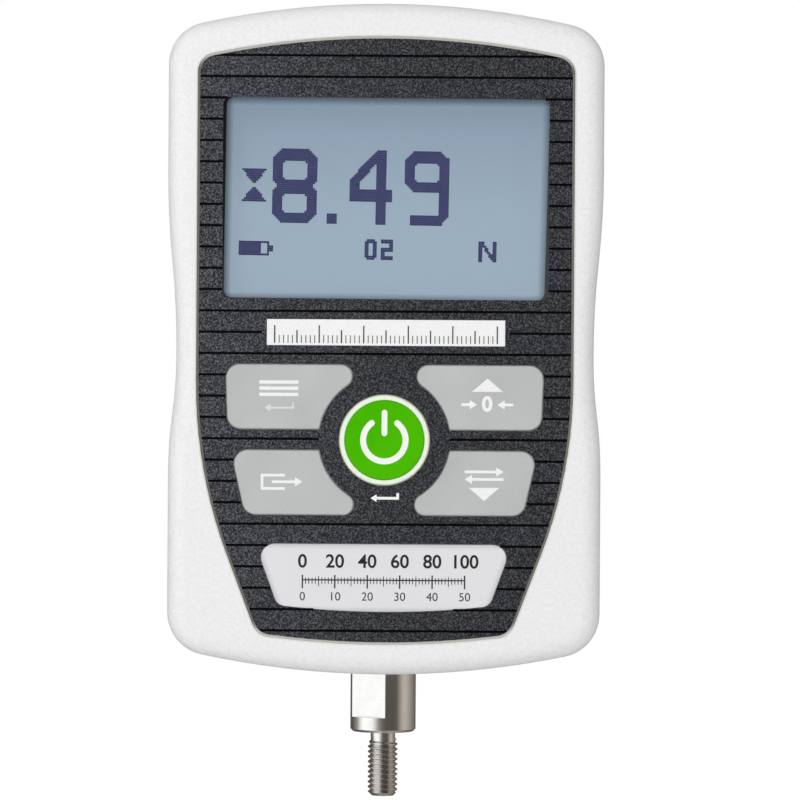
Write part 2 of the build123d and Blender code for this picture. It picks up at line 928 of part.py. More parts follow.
# Loading shaft
def loading_shaft():
    body = upright(shaft_r, shoulder_z, shaft_top)
    body = chamfer(body.edges().group_by(Axis.Z)[0], shaft_chamfer)
    side = 4 * shaft_r
    flat_foot = shoulder_z + shaft_collar
    for turn in (0, 180):
        cutter = Pos(0, -side / 2 - shaft_flats / 2, 0) * Box(side, side, side)
        body -= Pos(0, -shaft_depth, flat_foot + side / 2) * Rot(0, 0, shaft_flat_turn + turn) * cutter
    body += upright(shaft_tail_r, shaft_top, cell_foot + cell_thread_l - slip_gap)
    body += upright(neck_r, shoulder_z - neck_l, shoulder_z)
    stud = upright(stud_r, shoulder_z - stud_l, shoulder_z - neck_l)
    return body + chamfer(stud.edges().group_by(Axis.Z)[0], stud_chamfer)


def lock_nut():
    """The nut that jams the shaft's tail against the load cell."""
    top = cell_foot - thread_gap
    hexagon = RegularPolygon(nut_flats / 2, 6, major_radius=False)
    nut = Pos(0, -shaft_depth, top - nut_t) * extrude(hexagon, amount=nut_t)
    return nut - upright(shaft_tail_r + thread_gap, top - nut_t - past, top + past)


nodes = {
    "front_housing": front_housing(),
    "rear_housing": rear_housing(),
    "housing_screws": housing_screws(),
    "stand_dowel_insert": stand_dowel_insert(),
    "stand_thread_inserts": stand_thread_inserts(),
    "keypad_overlay": keypad_overlay(),
    "keypad_spacer": keypad_spacer(),
    "keypad_circuit": keypad_circuit(),
    "display_window": display_window(),
    "scale_plate": scale_plate(),
    "power_ring": power_ring(),
    "power_key": power_key(),
    "lcd_glass": lcd_glass(),
    "lcd_backlight": lcd_backlight(),
    "lcd_frame": lcd_frame(),
    "main_board": main_board(),
    "board_screws": board_screws(),
    "board_chips": board_chips(),
    "board_connectors": board_connectors(),
    "buzzer": buzzer(),
    "usb_socket": usb_socket(),
    "power_socket": power_socket(),
    "battery": battery(),
    "battery_snap": battery_snap(),
    "battery_cushion": battery_cushion(),
    "battery_wires": battery_wires(),
    "load_cell": load_cell(),
    "strain_gauges": strain_gauges(),
    "cell_anchor": cell_anchor(),
    "anchor_screws": anchor_screws(),
    "cell_bolt": cell_bolt(),
    "cell_lead": cell_lead(),
    "loading_shaft": loading_shaft(),
    "lock_nut": lock_nut(),
}
for name in key_outlines():
    nodes[f"{name}_key"] = key(name)
for name, place in dome_places().items():
    nodes[f"{name}_dome"] = dome(place)

os.makedirs("parts", exist_ok=True)
for name, piece in nodes.items():
    if isinstance(piece, list):
        piece = Compound(children=piece)
    piece.label = name
    export_step(piece, f"parts/{name}.step")
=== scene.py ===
import bmesh
import bpy
import json
from math import atan2, ceil, cos, degrees, hypot, pi, radians, sin
from mathutils import Matrix, Vector

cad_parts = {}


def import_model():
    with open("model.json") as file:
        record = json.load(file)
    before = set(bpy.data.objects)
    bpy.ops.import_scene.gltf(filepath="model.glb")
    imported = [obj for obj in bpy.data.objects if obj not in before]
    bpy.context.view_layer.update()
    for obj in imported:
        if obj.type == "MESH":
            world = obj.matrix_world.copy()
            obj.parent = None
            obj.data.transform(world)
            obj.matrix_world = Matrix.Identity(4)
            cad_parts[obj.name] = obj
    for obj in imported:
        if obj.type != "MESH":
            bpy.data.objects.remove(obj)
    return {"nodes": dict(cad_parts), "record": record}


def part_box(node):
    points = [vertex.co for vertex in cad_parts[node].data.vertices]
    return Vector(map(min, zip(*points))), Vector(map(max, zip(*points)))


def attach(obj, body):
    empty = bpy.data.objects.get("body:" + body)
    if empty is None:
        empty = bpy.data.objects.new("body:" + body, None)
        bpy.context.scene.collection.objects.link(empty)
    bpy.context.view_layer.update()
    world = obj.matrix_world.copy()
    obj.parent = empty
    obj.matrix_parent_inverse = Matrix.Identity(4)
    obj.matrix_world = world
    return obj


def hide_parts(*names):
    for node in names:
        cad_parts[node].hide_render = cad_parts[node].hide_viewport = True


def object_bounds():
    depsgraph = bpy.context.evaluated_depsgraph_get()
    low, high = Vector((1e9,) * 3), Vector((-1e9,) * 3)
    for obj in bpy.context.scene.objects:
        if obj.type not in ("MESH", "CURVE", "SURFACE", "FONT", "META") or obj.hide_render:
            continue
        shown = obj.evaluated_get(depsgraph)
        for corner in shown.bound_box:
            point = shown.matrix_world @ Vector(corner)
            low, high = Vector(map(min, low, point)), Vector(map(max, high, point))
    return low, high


# The looks of a hand-held digital force gauge: finishes, prints, threaded shaft, light and stage.
# The frame's lengths are metres: +Z is up, the display faces -Y and +X is on the reader's right.
# Outlines are drawn as (x, z) in millimetres, and MM turns a length in millimetres into metres.
MM = 0.001

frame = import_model()
cad_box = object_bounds()
nodes = frame["nodes"]


def face_y(node):
    """The place of a node's front face along Y, in metres."""
    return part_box(node)[0].y


def middle(node):
    """A node's middle as (x, z) in millimetres."""
    low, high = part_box(node)
    return ((low.x + high.x) / 2 / MM, (low.z + high.z) / 2 / MM)


def sides(node):
    """A node's left, right, foot and top in millimetres."""
    low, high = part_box(node)
    return (low.x / MM, high.x / MM, low.z / MM, high.z / MM)


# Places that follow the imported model
housing_y = face_y("front_housing")
overlay_y = face_y("keypad_overlay")
plate_y = face_y("scale_plate")
window_y = face_y("display_window")
lcd_y = face_y("lcd_glass")
key_y = face_y("menu_key")  # the other grey keys lie level with it
power_x, power_z = middle("power_key")
window_left, window_right, window_foot, window_top = sides("display_window")
plate_low, plate_high = sides("scale_plate")[2:]
overlay_top = sides("keypad_overlay")[3]
shaft_y = (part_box("loading_shaft")[0].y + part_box("loading_shaft")[1].y) / 2

# Prints lie just clear of what carries them
print_t = 0.01 * MM
print_gap = 0.003 * MM

# The border's opening over the display, clockwise from its upper left corner, a touch askew
opening = (
    (window_left + 2.03, window_top - 1.45),
    (window_right - 1.4, window_top - 1.61),
    (window_right - 2.15, window_foot + 1.44),
    (window_left + 1.7, window_foot + 1.71),
)
opening_r = 1.2
opening_shade = (0.42, 0.5, 0.45, 0.36)  # what is left of the light at its top, right, foot and left
opening_shade_w = 1.0
border_edge = 0.9  # from the window's edge to the border's own
# The display glows as its backlight would, and the glow also lightens the shade in its recess.
display_glow = 0.6  # the share of the display's colour that it gives off by itself

# The plate under the keys, clockwise from its upper left corner, as if its corners were sharp
plate_top_half, plate_foot_half = 19.78, 16.0
plate_corners = (
    (-plate_top_half, plate_high),
    (plate_top_half, plate_high),
    (plate_foot_half, plate_low),
    (-plate_foot_half, plate_low),
)
plate_edge_shade = 0.75
plate_edge_w = 0.8


# Colours and materials
def srgb(red, green, blue):
    """A screen colour, 0 to 255, as a linear colour."""
    def channel(value):
        value /= 255
        return value / 12.92 if value <= 0.04045 else ((value + 0.055) / 1.055) ** 2.4
    return (channel(red), channel(green), channel(blue), 1.0)


class Paint:
    """A node material that is put together step by step, in the frame's metres."""

    def __init__(self, name, colour, roughness, metallic=0.0, gloss=0.3, **sockets):
        self.material = bpy.data.materials.new(name)
        self.material.use_nodes = True
        self.tree = self.material.node_tree
        self.shader = self.tree.nodes["Principled BSDF"]
        self.shader.inputs["Base Color"].default_value = colour
        self.shader.inputs["Roughness"].default_value = roughness
        self.shader.inputs["Metallic"].default_value = metallic
        self.shader.inputs["Specular IOR Level"].default_value = gloss
        for socket, value in sockets.items():
            self.shader.inputs[socket.replace("_", " ")].default_value = value
        self.place = self.tree.nodes.new("ShaderNodeTexCoord").outputs["Object"]
        self.height = None

    def link(self, source, target):
        self.tree.links.new(source, target)

    def node(self, kind, **values):
        made = self.tree.nodes.new(kind)
        for name, value in values.items():
            setattr(made, name, value)
        return made

    def noise(self, size_mm, detail=2.0, roughness=0.5, stretch=(1, 1, 1)):
        """Noise whose blobs are about this large."""
        place = self.node("ShaderNodeMapping")
        place.inputs["Scale"].default_value = stretch
        self.link(self.place, place.inputs["Vector"])
        noise = self.node("ShaderNodeTexNoise")
        noise.inputs["Scale"].default_value = 1 / (size_mm * MM)
        noise.inputs["Detail"].default_value = detail
        noise.inputs["Roughness"].default_value = roughness
        self.link(place.outputs["Vector"], noise.inputs["Vector"])
        return noise.outputs["Fac"]

    def ramp(self, source, *stops):
        """A colour ramp with stops of (position, colour)."""
        ramp = self.node("ShaderNodeValToRGB")
        elements = ramp.color_ramp.elements
        while len(elements) < len(stops):
            elements.new(0.5)
        for element, (position, colour) in zip(elements, stops):
            element.position = position
            element.color = colour
        self.link(source, ramp.inputs["Fac"])
        return ramp.outputs["Color"]

    def spread(self, source, low, high, first=0.0, last=1.0):
        """Maps the part of a source between low and high onto the run from first to last."""
        spread = self.node("ShaderNodeMapRange")
        sockets = ("From Min", "From Max", "To Min", "To Max")
        for socket, value in zip(sockets, (low, high, first, last)):
            spread.inputs[socket].default_value = value
        self.link(source, spread.inputs["Value"])
        return spread.outputs["Result"]

    def combine(self, first, second, operation="ADD"):
        """Two numbers added, or put together by another operation."""
        made = self.node("ShaderNodeMath", operation=operation)
        for socket, value in zip(made.inputs, (first, second)):
            if isinstance(value, float):
                socket.default_value = value
            else:
                self.link(value, socket)
        return made.outputs["Value"]

    def along(self, direction):
        """How far the place lies along a direction, in metres."""
        product = self.node("ShaderNodeVectorMath", operation="DOT_PRODUCT")
        self.link(self.place, product.inputs[0])
        product.inputs[1].default_value = direction
        return product.outputs["Value"]

    def rise(self, node):
        """How far up a node of the frame the place lies, from 0 at its foot to 1 at its top."""
        low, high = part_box(node)
        return self.spread(self.along((0, 0, 1)), low.z, high.z)

    def dimmed(self, colour, factor):
        """A colour times a number, which may vary from place to place."""
        product = self.node("ShaderNodeVectorMath", operation="SCALE")
        self.link(colour, product.inputs[0])
        if isinstance(factor, float):
            product.inputs["Scale"].default_value = factor
        else:
            self.link(factor, product.inputs["Scale"])
        return product.outputs["Vector"]

    def edge_shade(self, corners, levels, width_mm):
        """A factor that falls to a level of its own at each side of a convex outline in the XZ plane.

        The corners run clockwise as seen from the front, and level i belongs to the side that starts
        at corner i.
        """
        shade = 1.0
        for i, level in enumerate(levels):
            (x0, z0), (x1, z1) = corners[i], corners[(i + 1) % len(corners)]
            length = hypot(x1 - x0, z1 - z0)
            inward = ((z1 - z0) / length, 0.0, (x0 - x1) / length)
            start = (x0 * inward[0] + z0 * inward[2]) * MM
            side = self.spread(self.along(inward), start, start + width_mm * MM, level, 1.0)
            shade = self.combine(shade, side, "MULTIPLY")
        return shade

    def colour(self, source):
        self.link(source, self.shader.inputs["Base Color"])
        return self

    def roughness(self, source, low, high):
        self.link(self.spread(source, 0.0, 1.0, low, high), self.shader.inputs["Roughness"])
        return self

    def bump(self, source, depth_mm, strength=1.0):
        """Adds relief; several calls stack."""
        bump = self.node("ShaderNodeBump")
        bump.inputs["Strength"].default_value = strength
        bump.inputs["Distance"].default_value = depth_mm * MM
        self.link(source, bump.inputs["Height"])
        if self.height is not None:
            self.link(self.height, bump.inputs["Normal"])
        self.height = bump.outputs["Normal"]
        self.link(self.height, self.shader.inputs["Normal"])
        return self


def white_coat():
    """Powder coat: a close, shallow orange peel."""
    paint = Paint("white_coat", srgb(243, 243, 243), 0.5)
    peel = paint.noise(0.6, detail=3.0, roughness=0.55)
    grain = paint.noise(0.2, detail=1.0)
    paint.bump(peel, depth_mm=0.07, strength=0.45).bump(grain, depth_mm=0.015, strength=0.35)
    tone = paint.combine(peel, grain, "MULTIPLY")
    paint.colour(paint.ramp(tone, (0.1, srgb(234, 234, 235)), (0.35, srgb(245, 245, 245))))
    return paint.roughness(peel, 0.45, 0.6).material


def overlay_film():
    """Dark film with a leathery grain, lighter on its high spots, with a painted sheen that lightens it
    towards its left edge.
    """
    paint = Paint("overlay_film", srgb(50, 51, 56), 0.5, gloss=0.2)
    grain = paint.noise(0.32, detail=2.0, roughness=0.6)
    fine = paint.noise(0.18, detail=1.0)
    relief = paint.spread(paint.combine(grain, fine), 0.7, 1.3)
    paint.bump(relief, depth_mm=0.05, strength=0.8)
    low, mid, high = srgb(24, 25, 29), srgb(49, 50, 55), srgb(97, 98, 103)
    tone = paint.ramp(relief, (0.15, low), (0.5, mid), (0.85, high))
    # wash is a painted sheen: the film gets lighter towards its left edge, where the light falls on it
    wash = paint.spread(paint.along((1, 0, 0)), -28 * MM, 2 * MM, 1.15, 0.79)
    paint.colour(paint.dimmed(tone, wash))
    return paint.roughness(grain, 0.38, 0.62).material


def rim_tint_and_shade():
    """The olive-grey bevel round the overlay's recess, with painted shade along its sides and painted light
    along its top and foot.
    """
    paint = Paint("rim_tint_and_shade", srgb(118, 117, 108), 0.45, gloss=0.1)
    rise = paint.rise("keypad_overlay")
    # side is the painted shade of the bevel's sides, and end is the painted light along its top and foot
    side, end = srgb(118, 116, 107), srgb(192, 192, 184)
    return paint.colour(paint.ramp(rise, (0.02, end), (0.035, side), (0.95, side), (0.97, end))).material


def painted_border_shade():
    """A dark band of painted shade cast by the window's edge, darker towards the upper left and lighter
    towards the lower right.
    """
    paint = Paint("painted_border_shade", srgb(64, 68, 70), 0.6, gloss=0.1)
    place = paint.spread(paint.along((0.8, 0, -0.6)), -38 * MM, -18 * MM)
    tone = paint.ramp(place, (0.0, srgb(22, 26, 28)), (0.6, srgb(32, 36, 38)), (1.0, srgb(68, 71, 71)))
    return paint.colour(tone).material


def key_plastic():
    """Satin grey plastic, a little uneven."""
    paint = Paint("key_plastic", srgb(189, 191, 190), 0.45)
    grain = paint.noise(0.12, detail=1.0)
    wash = paint.noise(9.0, detail=1.0)
    paint.bump(grain, depth_mm=0.012, strength=0.35)
    tone = paint.spread(paint.combine(grain, wash), 0.7, 1.3)
    paint.colour(paint.ramp(tone, (0.0, srgb(183, 186, 184)), (1.0, srgb(196, 198, 197))))
    return paint.roughness(grain, 0.38, 0.52).material


def green_plastic():
    """Green plastic for the power key."""
    paint = Paint("green_plastic", srgb(74, 185, 3), 0.4, gloss=0.01)
    grain = paint.noise(0.15, detail=1.0)
    paint.bump(grain, depth_mm=0.01, strength=0.3)
    wash = paint.spread(paint.noise(7.0, detail=1.0), 0.35, 0.65)
    return paint.colour(paint.ramp(wash, (0.0, srgb(71, 183, 2)), (1.0, srgb(77, 188, 5)))).material


def ring_plastic():
    """Pale plastic for the ring round the power key."""
    paint = Paint("ring_plastic", srgb(241, 249, 230), 0.35)
    grain = paint.noise(0.5, detail=1.0)
    paint.bump(grain, depth_mm=0.01, strength=0.2)
    return paint.colour(paint.ramp(grain, (0.3, srgb(237, 246, 225)), (0.7, srgb(244, 251, 235)))).material


def plate_film():
    """The light plate, with painted shade along its edges, where it lies below the overlay."""
    paint = Paint("plate_film", srgb(228, 228, 230), 0.45)
    grain = paint.noise(0.2, detail=1.0)
    paint.bump(grain, depth_mm=0.01, strength=0.3)
    tone = paint.ramp(grain, (0.3, srgb(225, 225, 227)), (0.7, srgb(231, 231, 233)))
    shade = paint.edge_shade(plate_corners, (plate_edge_shade,) * len(plate_corners), plate_edge_w)
    return paint.colour(paint.dimmed(tone, shade)).material


def lcd_glass():
    """The lit display: blue-grey, darker towards the top, with painted shade under the border's edges, and
    a glow of its own that also lightens that shade.
    """
    paint = Paint("lcd_glass", srgb(152, 170, 185), 0.55, gloss=0.05, Emission_Strength=display_glow)
    foot, mid, top = srgb(156, 176, 193), srgb(152, 172, 189), srgb(132, 151, 170)
    tone = paint.ramp(paint.rise("lcd_glass"), (0.0, foot), (0.45, mid), (1.0, top))
    tone = paint.dimmed(tone, paint.edge_shade(opening, opening_shade, opening_shade_w))
    paint.link(tone, paint.shader.inputs["Emission Color"])
    paint.colour(paint.dimmed(tone, 1 - display_glow))
    return paint.roughness(paint.noise(4.0), 0.5, 0.6).material


def window_glass():
    """The clear window: a faint film that keeps its gloss."""
    paint = Paint("window_glass", srgb(235, 240, 245), 0.08, Alpha=0.022)
    smear = paint.noise(14.0, detail=2.0)
    return paint.roughness(smear, 0.05, 0.14).material


def turned_steel():
    """Machined stainless steel with the fine rings that a lathe leaves."""
    paint = Paint("shaft_steel", srgb(203, 198, 193), 0.2, metallic=1.0)
    rings = paint.noise(0.05, detail=2.0, roughness=0.6, stretch=(0.02, 0.02, 1))
    wash = paint.noise(1.6, detail=2.0)
    paint.bump(rings, depth_mm=0.003, strength=0.4)
    tone = paint.spread(paint.combine(rings, wash), 0.7, 1.3)
    paint.colour(paint.ramp(tone, (0.0, srgb(198, 193, 188)), (1.0, srgb(206, 201, 196))))
    return paint.roughness(rings, 0.15, 0.27).material


def milled_metal(name, colour, roughness=0.35):
    """Metal with the strokes of a cutter."""
    paint = Paint(name, colour, roughness, metallic=1.0)
    strokes = paint.noise(0.1, detail=2.0, roughness=0.6, stretch=(0.05, 1, 1))
    paint.bump(strokes, depth_mm=0.006, strength=0.4)
    return paint.roughness(strokes, roughness - 0.1, roughness + 0.12).material


def plain_plastic(name, colour, roughness=0.5):
    """Plastic, rubber or film with a little grain."""
    paint = Paint(name, colour, roughness)
    grain = paint.noise(0.3, detail=2.0)
    paint.bump(grain, depth_mm=0.015, strength=0.3)
    dark = tuple(0.86 * c for c in colour[:3]) + (1.0,)
    paint.colour(paint.ramp(grain, (0.25, dark), (0.75, colour)))
    return paint.roughness(grain, roughness - 0.08, roughness + 0.1).material


def ink(name, colour, dark, light, grain_mm, detail=1.0, roughness=0.5, gloss=0.3):
    """A print whose tone runs from dark to light with its grain."""
    paint = Paint(name, srgb(*colour), roughness, gloss=gloss)
    grain = paint.noise(grain_mm, detail)
    return paint.colour(paint.ramp(grain, (0.3, srgb(*dark)), (0.7, srgb(*light)))).material


PAINTS = {
    "white_coat": white_coat(),
    "overlay_film": overlay_film(),
    "grey_key": key_plastic(),
    "green_key": green_plastic(),
    "ring_plastic": ring_plastic(),
    "plate_film": plate_film(),
    "lcd": lcd_glass(),
    "clear_window": window_glass(),
    "steel": turned_steel(),
    "screw_steel": milled_metal("screw_steel", srgb(170, 170, 172)),
    "dome_steel": milled_metal("dome_steel", srgb(190, 190, 190), 0.25),
    "socket_metal": milled_metal("socket_metal", srgb(200, 200, 204), 0.25),
    "aluminium_cell": milled_metal("aluminium_cell", srgb(205, 207, 210), 0.3),
    "anchor_metal": milled_metal("anchor_metal", srgb(190, 192, 195), 0.35),
    "spacer_film": plain_plastic("spacer_film", srgb(205, 205, 200)),
    "circuit_film": plain_plastic("circuit_film", srgb(178, 120, 50), 0.35),
    "light_guide": plain_plastic("light_guide", srgb(225, 228, 230), 0.3),
    "black_plastic": plain_plastic("black_plastic", srgb(38, 38, 40)),
    "board_laminate": plain_plastic("board_laminate", srgb(34, 104, 60), 0.35),
    "chip_plastic": plain_plastic("chip_plastic", srgb(32, 32, 34)),
    "connector_plastic": plain_plastic("connector_plastic", srgb(215, 210, 196)),
    "battery_case": plain_plastic("battery_case", srgb(88, 98, 116), 0.3),
    "foam": plain_plastic("foam", srgb(56, 56, 58), 0.9),
    "wire_sleeve": plain_plastic("wire_sleeve", srgb(170, 36, 32), 0.4),
    "gauge_foil": plain_plastic("gauge_foil", srgb(186, 130, 60), 0.3),
}
LINE_INK = ink("line_ink", (5, 5, 7), (2, 2, 4), (9, 9, 12), 0.3, detail=2.0, gloss=0.03)
WHITE_INK = ink("white_ink", (246, 247, 246), (240, 241, 240), (249, 249, 249), 0.2)
CREAM_INK = ink("cream_ink", (249, 251, 241), (246, 249, 237), (251, 252, 245), 0.3)
SOFT_INK = ink("soft_ink", (222, 223, 222), (216, 217, 216), (227, 228, 227), 0.2)
BLACK_INK = ink("black_ink", (36, 36, 37), (28, 28, 29), (46, 46, 47), 0.15)
LCD_INK = ink("lcd_ink", (27, 29, 90), (23, 25, 86), (31, 33, 94), 0.6, roughness=0.6, gloss=0.0)
BORDER_SHADE = painted_border_shade()
RIM_TINT_AND_SHADE = rim_tint_and_shade()


def paint_cad_nodes():
    """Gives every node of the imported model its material."""
    slots = {part["node"]: part["material_slot"] for part in frame["record"]["subparts"]}
    for name, node in nodes.items():
        node.data.materials.clear()
        node.data.materials.append(PAINTS[slots[name]])


# Making pieces
def linked(name, data):
    """A new object of the scene."""
    made = bpy.data.objects.new(name, data)
    bpy.context.scene.collection.objects.link(made)
    return made


def bridge(shape, first, second):
    """Faces between two rings of points."""
    for i in range(len(first)):
        j = (i + 1) % len(first)
        shape.faces.new((first[j], first[i], second[i], second[j]))


def placed(name, shape, body, paint):
    """Turns a finished bmesh into an object that rides on a body."""
    bmesh.ops.recalc_face_normals(shape, faces=shape.faces[:])
    mesh = bpy.data.meshes.new(name)
    shape.to_mesh(mesh)
    shape.free()
    mesh.materials.append(paint)
    piece = linked(name, mesh)
    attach(piece, body)
    return piece


def flat(name, outlines, front_y, body, paint):
    """Thin prints on a plane that faces -Y; each outline is a list of (x, z)."""
    back_y = (front_y - print_gap) / MM
    top_y = back_y - print_t / MM
    shape = bmesh.new()
    for outline in outlines:
        top = [shape.verts.new((x * MM, top_y * MM, z * MM)) for x, z in outline]
        back = [shape.verts.new((x * MM, back_y * MM, z * MM)) for x, z in outline]
        shape.faces.new(top)
        shape.faces.new(reversed(back))
        bridge(shape, top, back)
    return placed(name, shape, body, paint)


def band(name, inner, outer, inner_y, outer_y, body, paint):
    """A thin closed band between two loops of equally many (x, z) points, each at its own depth."""
    rims = ((inner, inner_y - print_t), (outer, outer_y - print_t), (outer, outer_y), (inner, inner_y))
    shape = bmesh.new()
    rings = []
    for loop, y in rims:
        rings.append([shape.verts.new((x * MM, y, z * MM)) for x, z in loop])
    for i in range(len(rings)):
        bridge(shape, rings[i], rings[(i + 1) % len(rings)])
    return placed(name, shape, body, paint)


cap_height = 0.73  # of the font's figures, as a share of its size


def numeral(name, text, x, z, height, front_y, body, paint, bold=0.0):
    """A number, centred on (x, z), as a thin mesh that faces -Y."""
    curve = bpy.data.curves.new(name, "FONT")
    curve.body = text
    curve.align_x = "CENTER"
    curve.align_y = "CENTER"
    curve.size = height * MM / cap_height
    curve.offset = bold * MM
    curve.extrude = print_t / 2
    source = linked(name + "_curve", curve)
    graph = bpy.context.evaluated_depsgraph_get()
    mesh = bpy.data.meshes.new_from_object(source.evaluated_get(graph))
    bpy.data.objects.remove(source)
    place = Matrix.Translation((x * MM, front_y - print_gap - print_t / 2, z * MM))
    mesh.transform(place @ Matrix.Rotation(pi / 2, 4, "X"))
    mesh.materials.clear()
    mesh.materials.append(paint)
    piece = linked(name, mesh)
    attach(piece, body)
    return piece


# Outlines
round_step = 15  # degrees between the points of a round end


def rectangle(left, right, low, high):
    return [(left, low), (right, low), (right, high), (left, high)]


def triangle(x, base, tip, half):
    return [(x - half, base), (x + half, base), (x, tip)]


def fan(x, z, radius, turns):
    """The points round (x, z) at these turns, in degrees anticlockwise from +X."""
    return [(x + radius * cos(radians(turn)), z + radius * sin(radians(turn))) for turn in turns]


def arc_band(x, z, radius, width, start, end, steps=40):
    """Part of a ring with round ends, from one turn to another."""
    half = width / 2
    turns = [start + (end - start) * i / steps for i in range(steps + 1)]
    caps = []
    for turn, first in ((end, 0), (start, 180)):
        cap_x, cap_z = fan(x, z, radius, [turn])[0]
        cap_steps = range(first + round_step, first + 180, round_step)
        caps.append(fan(cap_x, cap_z, half, [turn + step for step in cap_steps]))
    outer = fan(x, z, radius + half, turns)
    inner = fan(x, z, radius - half, reversed(turns))
    return outer + caps[0] + inner + caps[1]


def bar(x0, z0, x1, z1, width):
    """A straight stroke with round ends."""
    turn = degrees(atan2(z1 - z0, x1 - x0))
    points = []
    for x, z, first in ((x1, z1, turn - 90), (x0, z0, turn + 90)):
        points += fan(x, z, width / 2, [first + step for step in range(0, 180 + 1, round_step)])
    return points


def offset_loop(points, distance, closed=True):
    """Points moved to the right of the way they run, with mitred corners."""
    count = len(points)
    moved = []
    for i, (x, z) in enumerate(points):
        before = points[i - 1] if closed or i > 0 else None
        after = points[(i + 1) % count] if closed or i < count - 1 else None
        normals = []
        for start, end in ((before, (x, z)), ((x, z), after)):
            if start is not None and end is not None:
                length = hypot(end[0] - start[0], end[1] - start[1])
                normals.append(((end[1] - start[1]) / length, (start[0] - end[0]) / length))
        nx = sum(n[0] for n in normals) / len(normals)
        nz = sum(n[1] for n in normals) / len(normals)
        reach = distance / (nx * nx + nz * nz)
        moved.append((x + nx * reach, z + nz * reach))
    return moved


def stroke(points, width):
    """A line of even width through the points, as one outline with square ends."""
    right = offset_loop(points, width / 2, closed=False)
    left = offset_loop(points, -width / 2, closed=False)
    return right + left[::-1]


head_half = 0.62  # of an arrow's head, as a share of its length


def arrow(x0, z0, x1, z1, width, head, tail=0.0):
    """A stroke with a triangular head that ends at the second point; a tail turns up at the first."""
    length = hypot(x1 - x0, z1 - z0)
    ux, uz = (x1 - x0) / length, (z1 - z0) / length
    neck = (x1 - ux * head, z1 - uz * head)
    side = head * head_half
    tip = [(neck[0] - uz * side, neck[1] + ux * side), (neck[0] + uz * side, neck[1] - ux * side), (x1, z1)]
    start = [(x0, z0 + tail)] if tail else []
    return [stroke(start + [(x0, z0), neck], width), tip]


def rounded(corners, radius, steps=8):
    """A convex outline with its corners rounded; the corners run clockwise."""
    points = []
    count = len(corners)
    for i, (x, z) in enumerate(corners):
        to_before = atan2(corners[i - 1][1] - z, corners[i - 1][0] - x)
        to_after = atan2(corners[(i + 1) % count][1] - z, corners[(i + 1) % count][0] - x)
        half_turn = ((to_before - to_after) % (2 * pi)) / 2
        half_turn = min(half_turn, pi - half_turn)
        bisector = atan2(sin(to_before) + sin(to_after), cos(to_before) + cos(to_after))
        away = radius / sin(half_turn)
        centre = (x + away * cos(bisector), z + away * sin(bisector))
        sweep = pi / 2 - half_turn
        for step in range(steps + 1):
            turn = bisector + pi + sweep * (1 - 2 * step / steps)
            points.append((centre[0] + radius * cos(turn), centre[1] + radius * sin(turn)))
    return points


def tick_rank(i):
    """0 for every tenth tick of a ruler, 1 for every fifth and 2 for the rest."""
    return 0 if i % 10 == 0 else 1 if i % 5 == 0 else 2


# The outline of a node's front face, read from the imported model
def rim_edges(node, y):
    """The edges round a node's front face in the plane y, as pairs of (x, z) in millimetres."""
    mesh = nodes[node].data
    close = 1e-6
    count = {}
    for polygon in mesh.polygons:
        corners = [mesh.vertices[i].co for i in polygon.vertices]
        if all(abs(c.y - y) < close for c in corners):
            points = [(round(c.x / MM, 4), round(c.z / MM, 4)) for c in corners]
            for i, point in enumerate(points):
                edge = tuple(sorted((point, points[(i + 1) % len(points)])))
                count[edge] = count.get(edge, 0) + 1
    return [edge for edge, uses in count.items() if uses == 1]


def outer_loop(edges):
    """The outermost of the loops that the edges make, clockwise."""
    neighbours = {}
    for a, b in edges:
        neighbours.setdefault(a, []).append(b)
        neighbours.setdefault(b, []).append(a)
    first = min(neighbours)
    loop = [first, max(neighbours[first], key=lambda point: point[1])]
    while True:
        onward = [point for point in neighbours[loop[-1]] if point != loop[-2]][0]
        if onward == first:
            return loop
        loop.append(onward)


def spans_at(z, edges):
    """Where the face inside the edges lies along the height z: pairs of x."""
    crossings = []
    for a, b in edges:
        if (a[1] - z) * (b[1] - z) < 0:
            share = (z - a[1]) / (b[1] - a[1])
            crossings.append(a[0] + share * (b[0] - a[0]))
    crossings.sort()
    return list(zip(crossings[::2], crossings[1::2]))


shortest_span = 0.3


def without(spans, low, high):
    """The spans with one stretch cut out of them, and without the crumbs that this leaves."""
    kept = []
    for left, right in spans:
        kept += [(left, min(right, low))] if left < low else []
        kept += [(max(left, high), right)] if right > high else []
    return [(left, right) for left, right in kept if right - left > shortest_span]


# The keypad overlay
overlay_edges = rim_edges("keypad_overlay", overlay_y)
rim_inside = 0.08  # how far the bevel reaches over the overlay
rim_outside = 0.45  # and past its edge
line_pitch = 3.283
line_w = 0.36
line_count = 28
line_top = overlay_top - 2.765
line_nudge = 0.0003  # keeps the height that a line is cut at off the outline's own points
clear_r = 10.1  # round the power key

# The ticked strip under the window
strip_left, strip_right = window_left + 8.45, window_right - 8.15
strip_h = 4.0
strip_high = window_foot - 1.62
strip_low = strip_high - strip_h
strip_gap = 0.75  # from the strip to the lines beside it
strip_divisions = 50
strip_margin = 1.2  # from its ends to the first and the last tick
strip_foot = 0.35  # from its lower edge to the ticks
strip_tick_h = (0.68, 0.5, 0.3)  # of each rank, as a share of the strip's height
strip_tick_w = (0.2, 0.2, 0.13)


def overlay_rim():
    """The bevel between the overlay and the edge of its recess, with painted shade and light."""
    loop = outer_loop(overlay_edges)
    inner, outer = offset_loop(loop, rim_inside), offset_loop(loop, -rim_outside)
    depths = overlay_y - print_gap, housing_y - print_gap
    band("overlay_rim", inner, outer, *depths, "gauge", RIM_TINT_AND_SHADE)


